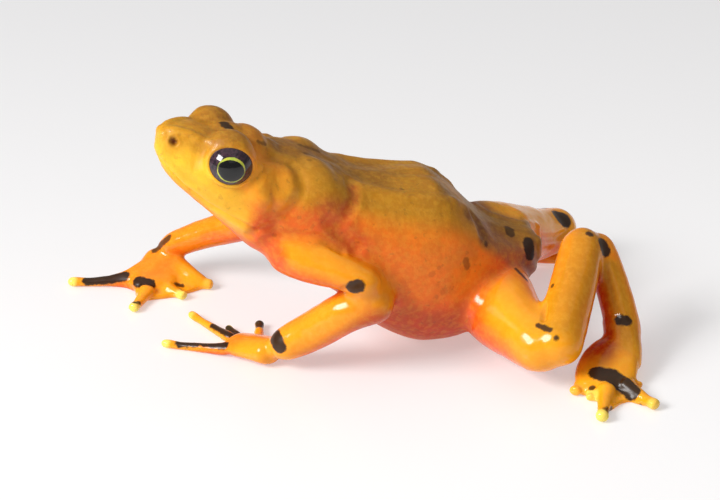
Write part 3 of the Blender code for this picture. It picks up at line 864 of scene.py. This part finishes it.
def open_lids(skin):
    """Wraps the skin round each eyeball and opens it before the eye."""
    for side in (-1, 1):
        centre, axis, forward, up = eye_frame(side)
        offset = skin.points - centre
        distance = np.linalg.norm(offset, axis=1)
        direction = offset / np.maximum(distance, 1e-9)[:, None]
        across = direction @ forward * EYE_RADIUS / EYE_OPENING[0]
        rise = direction @ up * EYE_RADIUS / EYE_OPENING[1]
        ratio = np.where(direction @ axis > 0, np.hypot(across, rise), FAR_RATIO)
        near = (distance < EYE_RADIUS * LID_REACH) & (direction @ axis > LID_BACK)
        inside = eased(ramp(1.0 - ratio, LID_EDGE_WIDTH))
        rim = np.exp(-((ratio - LID_RIM) / LID_RIM_WIDTH) ** 2)
        wrapped = EYE_RADIUS + LID_THICKNESS + LID_RIM_HEIGHT * rim
        lifted = np.maximum(distance, wrapped)
        outer = lifted + (wrapped - lifted) * ramp(LID_CLOSE[0] - ratio, LID_CLOSE[1])
        outer = distance + (outer - distance) * ramp(LID_END[0] - ratio, LID_END[1])
        target = outer * (1 - inside) + EYE_RADIUS * SUNK_SHARE * inside
        moved = np.where(near, target, distance)
        skin.points = centre + direction * moved[:, None]


def roughen(skin):
    """Low, uneven swelling that breaks up the highlights."""
    grain = np.zeros(len(skin.points))
    for scale, height in GRAIN:
        grain += height * np.array([noise.noise(Vector(p) * scale) for p in skin.points])
    skin.lift(skin.normals(), grain)


def mixed(under, over, share):
    return under * (1 - share[:, None]) + over * share[:, None]


def trunk_shares(points):
    """How far up the trunk each point lies, and how surely it belongs to the trunk."""
    x, y, z = points.T
    rows = smooth_row(TRUNK, np.linspace(0, 1, 200))
    low, top, half = (np.interp(x, rows[:, 0], rows[:, k]) for k in (1, 2, 3))
    share = (z - low) / (top - low)
    sure = ramp(half + 0.9 - np.abs(y), 0.8) * ramp(share + 0.05, 0.1)
    sure *= ramp(x + 23, 3) * ramp(15.5 - x, 2)
    return share, sure


def ground_colour(skin):
    """The skin's colour before its washes, with painted shade on the undersides, and how surely each
    point lies on trunk or head.
    """
    # Flame below and amber above, by the way the skin faces: partly the skin's redder underside, partly
    # painted shade where light doesn't reach.
    lit = eased(ramp(skin.even_normals(COLOUR_NORMAL_ROUNDS)[:, 2] + 0.75, 1.3))
    colour = mixed(shade("flame"), shade("amber"), lit)
    share, on_trunk = trunk_shares(skin.points)
    # Flame low on the flank up to ochre on top: partly the flank's own colours, partly painted shade low
    # on the flank.
    flank = mixed(shade("flame"), shade("orange"), ramp(share - 0.1, 0.35))
    flank = mixed(flank, shade("ochre"), ramp(share - 0.78, 0.12) * 0.9)
    x, y, z = skin.points.T
    on_head = ramp(-19.5 - x, 2) * ramp(z - 14, 2)
    return mixed(colour, flank, on_trunk), np.clip(on_trunk + on_head, 0, 1)


def washed(colour, points, tree, central):
    """The colour with its washes, some of them painted light and shade; those on both sides stay on trunk
    and head. The nostrils get painted shade.
    """
    for name, both, reach, strength, pixels in WASHES:
        places = points_under(tree, "wash " + name, pixels, both)
        near = falloff(distance_to(points, places), reach * WASH_SPREAD)
        near = np.clip(near * WASH_CORE, 0, 1) * strength * (central if both else 1)
        colour = mixed(colour, shade(name), near)
    # Painted shade: a dark patch in and round each nostril pit.
    nostrils = points_under(tree, "nostril", (NOSTRIL_PIXEL,), True)
    return mixed(colour, shade("nostril"), falloff(distance_to(points, nostrils), NOSTRIL_RADIUS))


def tipped(colour, points):
    """The colour with golden fingers and toes that end in pale tips."""
    for key, (_, _, tip_x, tip_y, half) in DIGITS.items():
        distance = distance_to(points, ((tip_x, tip_y, half),))
        for name, (length, fade, strength) in (("gold", GOLD_TIP), ("lemon", LEMON_TIP)):
            if name == "gold" or key != PLAIN_TOE:
                colour = mixed(colour, shade(name), ramp(length - distance, fade) * strength)
    return colour


def dark_marks(points, tree):
    """How deep each point lies in a dark mark, and how dark that mark is."""
    depth = np.full(len(points), -1.0)
    darkness = np.zeros(len(points))
    found = [(radius, amount, points_under(tree, name, pixels, both))
             for name, both, radius, amount, pixels in MARKS]
    found += [(radius, amount, np.array([tree.find_nearest(Vector(place))[0]]))
              for radius, amount, place in HIDDEN_MARKS]
    for radius, amount, places in found:
        inside = radius - distance_to(points, places)
        darkness = np.where(inside > depth, amount, darkness)
        depth = np.maximum(depth, inside)
    return depth, darkness


def paint(skin):
    """Values on the skin's points for its material."""
    tree = skin.tree()
    colour, central = ground_colour(skin)
    colour = tipped(washed(colour, skin.points, tree, central), skin.points)
    depth, darkness = dark_marks(skin.points, tree)
    return {"ground": colour, "mark": depth, "darkness": darkness, "matt": central}


def make_object(name, points, faces, attributes):
    """Smooth mesh object in the row frame with named values on its points."""
    mesh = bpy.data.meshes.new(name)
    mesh.from_pydata(to_row(points).tolist(), [], faces)
    for key, values in attributes.items():
        if values.ndim == 1:
            layer = mesh.attributes.new(key, "FLOAT", "POINT")
            layer.data.foreach_set("value", values.astype(np.float32))
        else:
            layer = mesh.attributes.new(key, "FLOAT_COLOR", "POINT")
            full = np.column_stack((values, np.ones(len(values)))).astype(np.float32)
            layer.data.foreach_set("color", full.ravel())
    mesh.shade_smooth()
    return added(name, mesh)


class Nodes:
    """Short calls for building a material's nodes."""

    def __init__(self, name):
        self.material = bpy.data.materials.new(name)
        self.material.use_nodes = True
        self.tree = self.material.node_tree
        self.shader = self.tree.nodes["Principled BSDF"]
        self.place = self.add("ShaderNodeTexCoord").outputs["Object"]

    def add(self, kind, **values):
        node = self.tree.nodes.new(kind)
        for key, value in values.items():
            setattr(node, key, value)
        return node

    def link(self, output, socket):
        self.tree.links.new(output, socket)

    def finish(self, values):
        """Sets plain inputs of the shader and gives the material."""
        for key, value in values.items():
            self.shader.inputs[key].default_value = value
        return self.material

    def value(self, name):
        """A number kept on the mesh's points."""
        return self.add("ShaderNodeAttribute", attribute_name=name).outputs["Fac"]

    def noise(self, scale, detail, roughness):
        node = self.add("ShaderNodeTexNoise")
        node.inputs["Scale"].default_value = scale
        node.inputs["Detail"].default_value = detail
        node.inputs["Roughness"].default_value = roughness
        self.link(self.place, node.inputs["Vector"])
        return node.outputs["Fac"]

    def math(self, operation, first, second):
        node = self.add("ShaderNodeMath", operation=operation)
        for socket, value in zip(node.inputs, (first, second)):
            if isinstance(value, (int, float)):
                socket.default_value = value
            else:
                self.link(value, socket)
        return node.outputs[0]

    def scaled(self, value, factor, start):
        return self.math("ADD", self.math("MULTIPLY", value, factor), start)

    def wavering(self, noise_value, amount):
        """Noise made to go to both sides of 0."""
        return self.math("MULTIPLY", self.math("SUBTRACT", noise_value, 0.5), amount)

    def ranged(self, value, low, high, to_low=0.0, to_high=1.0):
        node = self.add("ShaderNodeMapRange", interpolation_type="SMOOTHSTEP")
        self.link(value, node.inputs["Value"])
        limits = {"From Min": low, "From Max": high, "To Min": to_low, "To Max": to_high}
        for key, number in limits.items():
            node.inputs[key].default_value = number
        return node.outputs["Result"]

    def mix(self, share, first, second):
        node = self.add("ShaderNodeMix", data_type="RGBA")
        for socket, value in ((node.inputs[0], share), (node.inputs[6], first), (node.inputs[7], second)):
            if isinstance(value, (int, float)):
                socket.default_value = value
            elif isinstance(value, tuple):
                socket.default_value = (*value, 1.0)
            else:
                self.link(value, socket)
        return node.outputs[2]


def detailed_ground(n, matt):
    """The painted colour with its clouds, flecks and pores."""
    ground = n.add("ShaderNodeAttribute", attribute_name="ground").outputs["Color"]
    clouds = n.math("MULTIPLY", n.ranged(n.noise(*CLOUDS), 0.32, 0.68), n.scaled(matt, 0.18, 0.08))
    ground = n.mix(clouds, ground, CLOUD_COLOUR)
    flecks = n.math("MULTIPLY", n.ranged(n.noise(*FLECKS), 0.40, 0.66), 0.14)
    ground = n.mix(flecks, ground, FLECK_COLOUR)
    pores = n.math("MULTIPLY", n.ranged(n.noise(*PORES), 0.63, 0.70), n.scaled(matt, 0.16, 0.03))
    return n.mix(pores, ground, PORE_COLOUR)


def skin_bump(n, matt):
    """Fine grain, stronger on trunk and head."""
    grain = n.math("ADD", n.noise(*FINE_GRAIN), n.math("MULTIPLY", n.noise(*COARSE_GRAIN), 1.4))
    bump = n.add("ShaderNodeBump")
    bump.inputs["Strength"].default_value = BUMP_STRENGTH
    bump.inputs["Distance"].default_value = BUMP_DISTANCE
    n.link(n.math("MULTIPLY", grain, n.scaled(matt, 0.75, 0.25)), bump.inputs["Height"])
    n.link(bump.outputs["Normal"], n.shader.inputs["Normal"])


def skin_material():
    n = Nodes("moist_skin")
    matt = n.value("matt")
    uneven_mark = n.math("ADD", n.value("mark"), n.wavering(n.noise(*MARK_EDGES), 0.55))
    dark = n.math("MULTIPLY", n.ranged(uneven_mark, -0.14, 0.16), n.value("darkness"))
    colour = n.mix(dark, detailed_ground(n, matt), tuple(shade("dark")))
    n.link(colour, n.shader.inputs["Base Color"])
    rough = n.ranged(n.noise(*WETNESS), 0.3, 0.7, *WET_ROUGHNESS)
    rough = n.math("ADD", rough, n.math("MULTIPLY", matt, MATT_ROUGHNESS))
    rough = n.math("ADD", rough, n.math("MULTIPLY", dark, DARK_ROUGHNESS))
    n.link(rough, n.shader.inputs["Roughness"])
    skin_bump(n, matt)
    return n.finish(SKIN_GLOSS)


def eye_material():
    n = Nodes("wet_eye")
    above = n.value("above")
    ring = n.math("ADD", n.value("ring"), n.wavering(n.noise(*EYE_RIPPLES), 0.10))
    iris = n.mix(n.ranged(n.noise(*IRIS_SPECKS), 0.4, 0.65), *IRIS_COLOURS)
    gold = n.mix(n.ranged(n.noise(*RING_SPECKS), 0.3, 0.7), *RING_COLOURS)
    inner = n.math("ADD", ring, n.math("MULTIPLY", n.ranged(above, 0.2, 1.0), 0.13))
    band = n.math("MULTIPLY", n.ranged(inner, 0.96, 1.0), n.ranged(ring, 1.04, 1.09, 1.0, 0.0))
    band = n.math("MULTIPLY", band, n.ranged(n.math("ABSOLUTE", above, 0.0), 0.0, 0.6, 0.35, 1.0))
    colour = n.mix(n.ranged(ring, 0.9, 1.0), PUPIL_COLOUR, iris)
    n.link(n.mix(band, colour, gold), n.shader.inputs["Base Color"])
    return n.finish(EYE_GLOSS)


def make_eye(side, word):
    """Eyeball with a raised cornea, an oval pupil and a golden ring round it."""
    centre, axis, forward, up = eye_frame(side)
    rings = ball_rings((0, 0, 0), (1, 1, 1), 90, 128)
    flat = rings.reshape(-1, 3)
    direction = flat[:, 2:3] * axis + flat[:, 0:1] * forward + flat[:, 1:2] * up
    direction /= np.linalg.norm(direction, axis=1)[:, None]
    facing = direction @ axis
    bulge = CORNEA_RISE * ramp(facing - CORNEA_START, CORNEA_SPAN) ** CORNEA_POWER
    points = centre + direction * (EYE_RADIUS + bulge)[:, None]
    across = direction @ forward * EYE_RADIUS / PUPIL[0]
    rise = (direction @ up * EYE_RADIUS + PUPIL_DROP) / PUPIL[1]
    ring = np.where(facing > 0, np.hypot(across, rise), FAR_RATIO)
    pool = Pool()
    pool.add_rings(points.reshape(rings.shape))
    values = {"ring": ring, "above": np.clip(rise, -1, 1)}
    eye = make_object("eyeball_" + word, points, pool.faces, values)
    eye.data.materials.append(eye_material())
    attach(eye, "root")
    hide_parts("eye_" + word)


def make_skin():
    skin = skin_surface()
    shape_skin(skin)
    filling, smoothing = SHAPED_ROUNDS
    skin.fill_creases(filling)
    skin.even_out(smoothing)
    open_lids(skin)
    roughen(skin)
    obj = make_object("skin", skin.points, skin.quads.tolist(), paint(skin))
    obj.data.materials.append(skin_material())
    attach(obj, "root")
    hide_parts(*[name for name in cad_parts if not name.startswith("eye_")])


def make_floor():
    """Wide pale sheet with a faint gloss."""
    mesh = bpy.data.meshes.new("floor")
    corners = [(x * FLOOR_HALF, y * FLOOR_HALF, 0) for x, y in ((-1, -1), (1, -1), (1, 1), (-1, 1))]
    mesh.from_pydata(corners, [], [(0, 1, 2, 3)])
    floor = added("floor", mesh)
    n = Nodes("pale_floor")
    split = n.add("ShaderNodeSeparateXYZ")
    n.link(n.place, split.inputs[0])
    colour = n.mix(n.ranged(split.outputs["Y"], *FLOOR_FADE), *FLOOR_COLOURS)
    n.link(colour, n.shader.inputs["Base Color"])
    floor.data.materials.append(n.finish(FLOOR_GLOSS))


def area_light(name, offset, size, power):
    light = bpy.data.lights.new(name, "AREA")
    light.shape = "RECTANGLE"
    light.size, light.size_y = size
    light.energy = power
    aim(added(name, light), LIGHT_AIM + offset, LIGHT_AIM)


def make_lights():
    for light in LIGHTS:
        area_light(*light)
    world = bpy.data.worlds.new("studio")
    world.use_nodes = True
    background = world.node_tree.nodes["Background"]
    background.inputs["Color"].default_value = (1.0, 1.0, 1.0, 1.0)
    background.inputs["Strength"].default_value = SKY_STRENGTH
    bpy.context.scene.world = world


def make_camera():
    data = bpy.data.cameras.new("photo_camera")
    data.sensor_width = SENSOR_WIDTH
    data.lens = FOCAL_PIXELS * SENSOR_WIDTH / PHOTO_SIZE[0]
    data.clip_start = 0.01
    data.clip_end = 20.0
    camera = added("photo_camera", data)
    aim(camera, Vector(to_row(CAMERA_PLACE)), Vector(to_row(CAMERA_TARGET)))
    bpy.context.scene.camera = camera


bpy.context.scene.view_settings.view_transform = "Standard"
make_camera()
make_skin()
for eye_side, eye_word in ((-1, "left"), (1, "right")):
    make_eye(eye_side, eye_word)
make_floor()
make_lights()
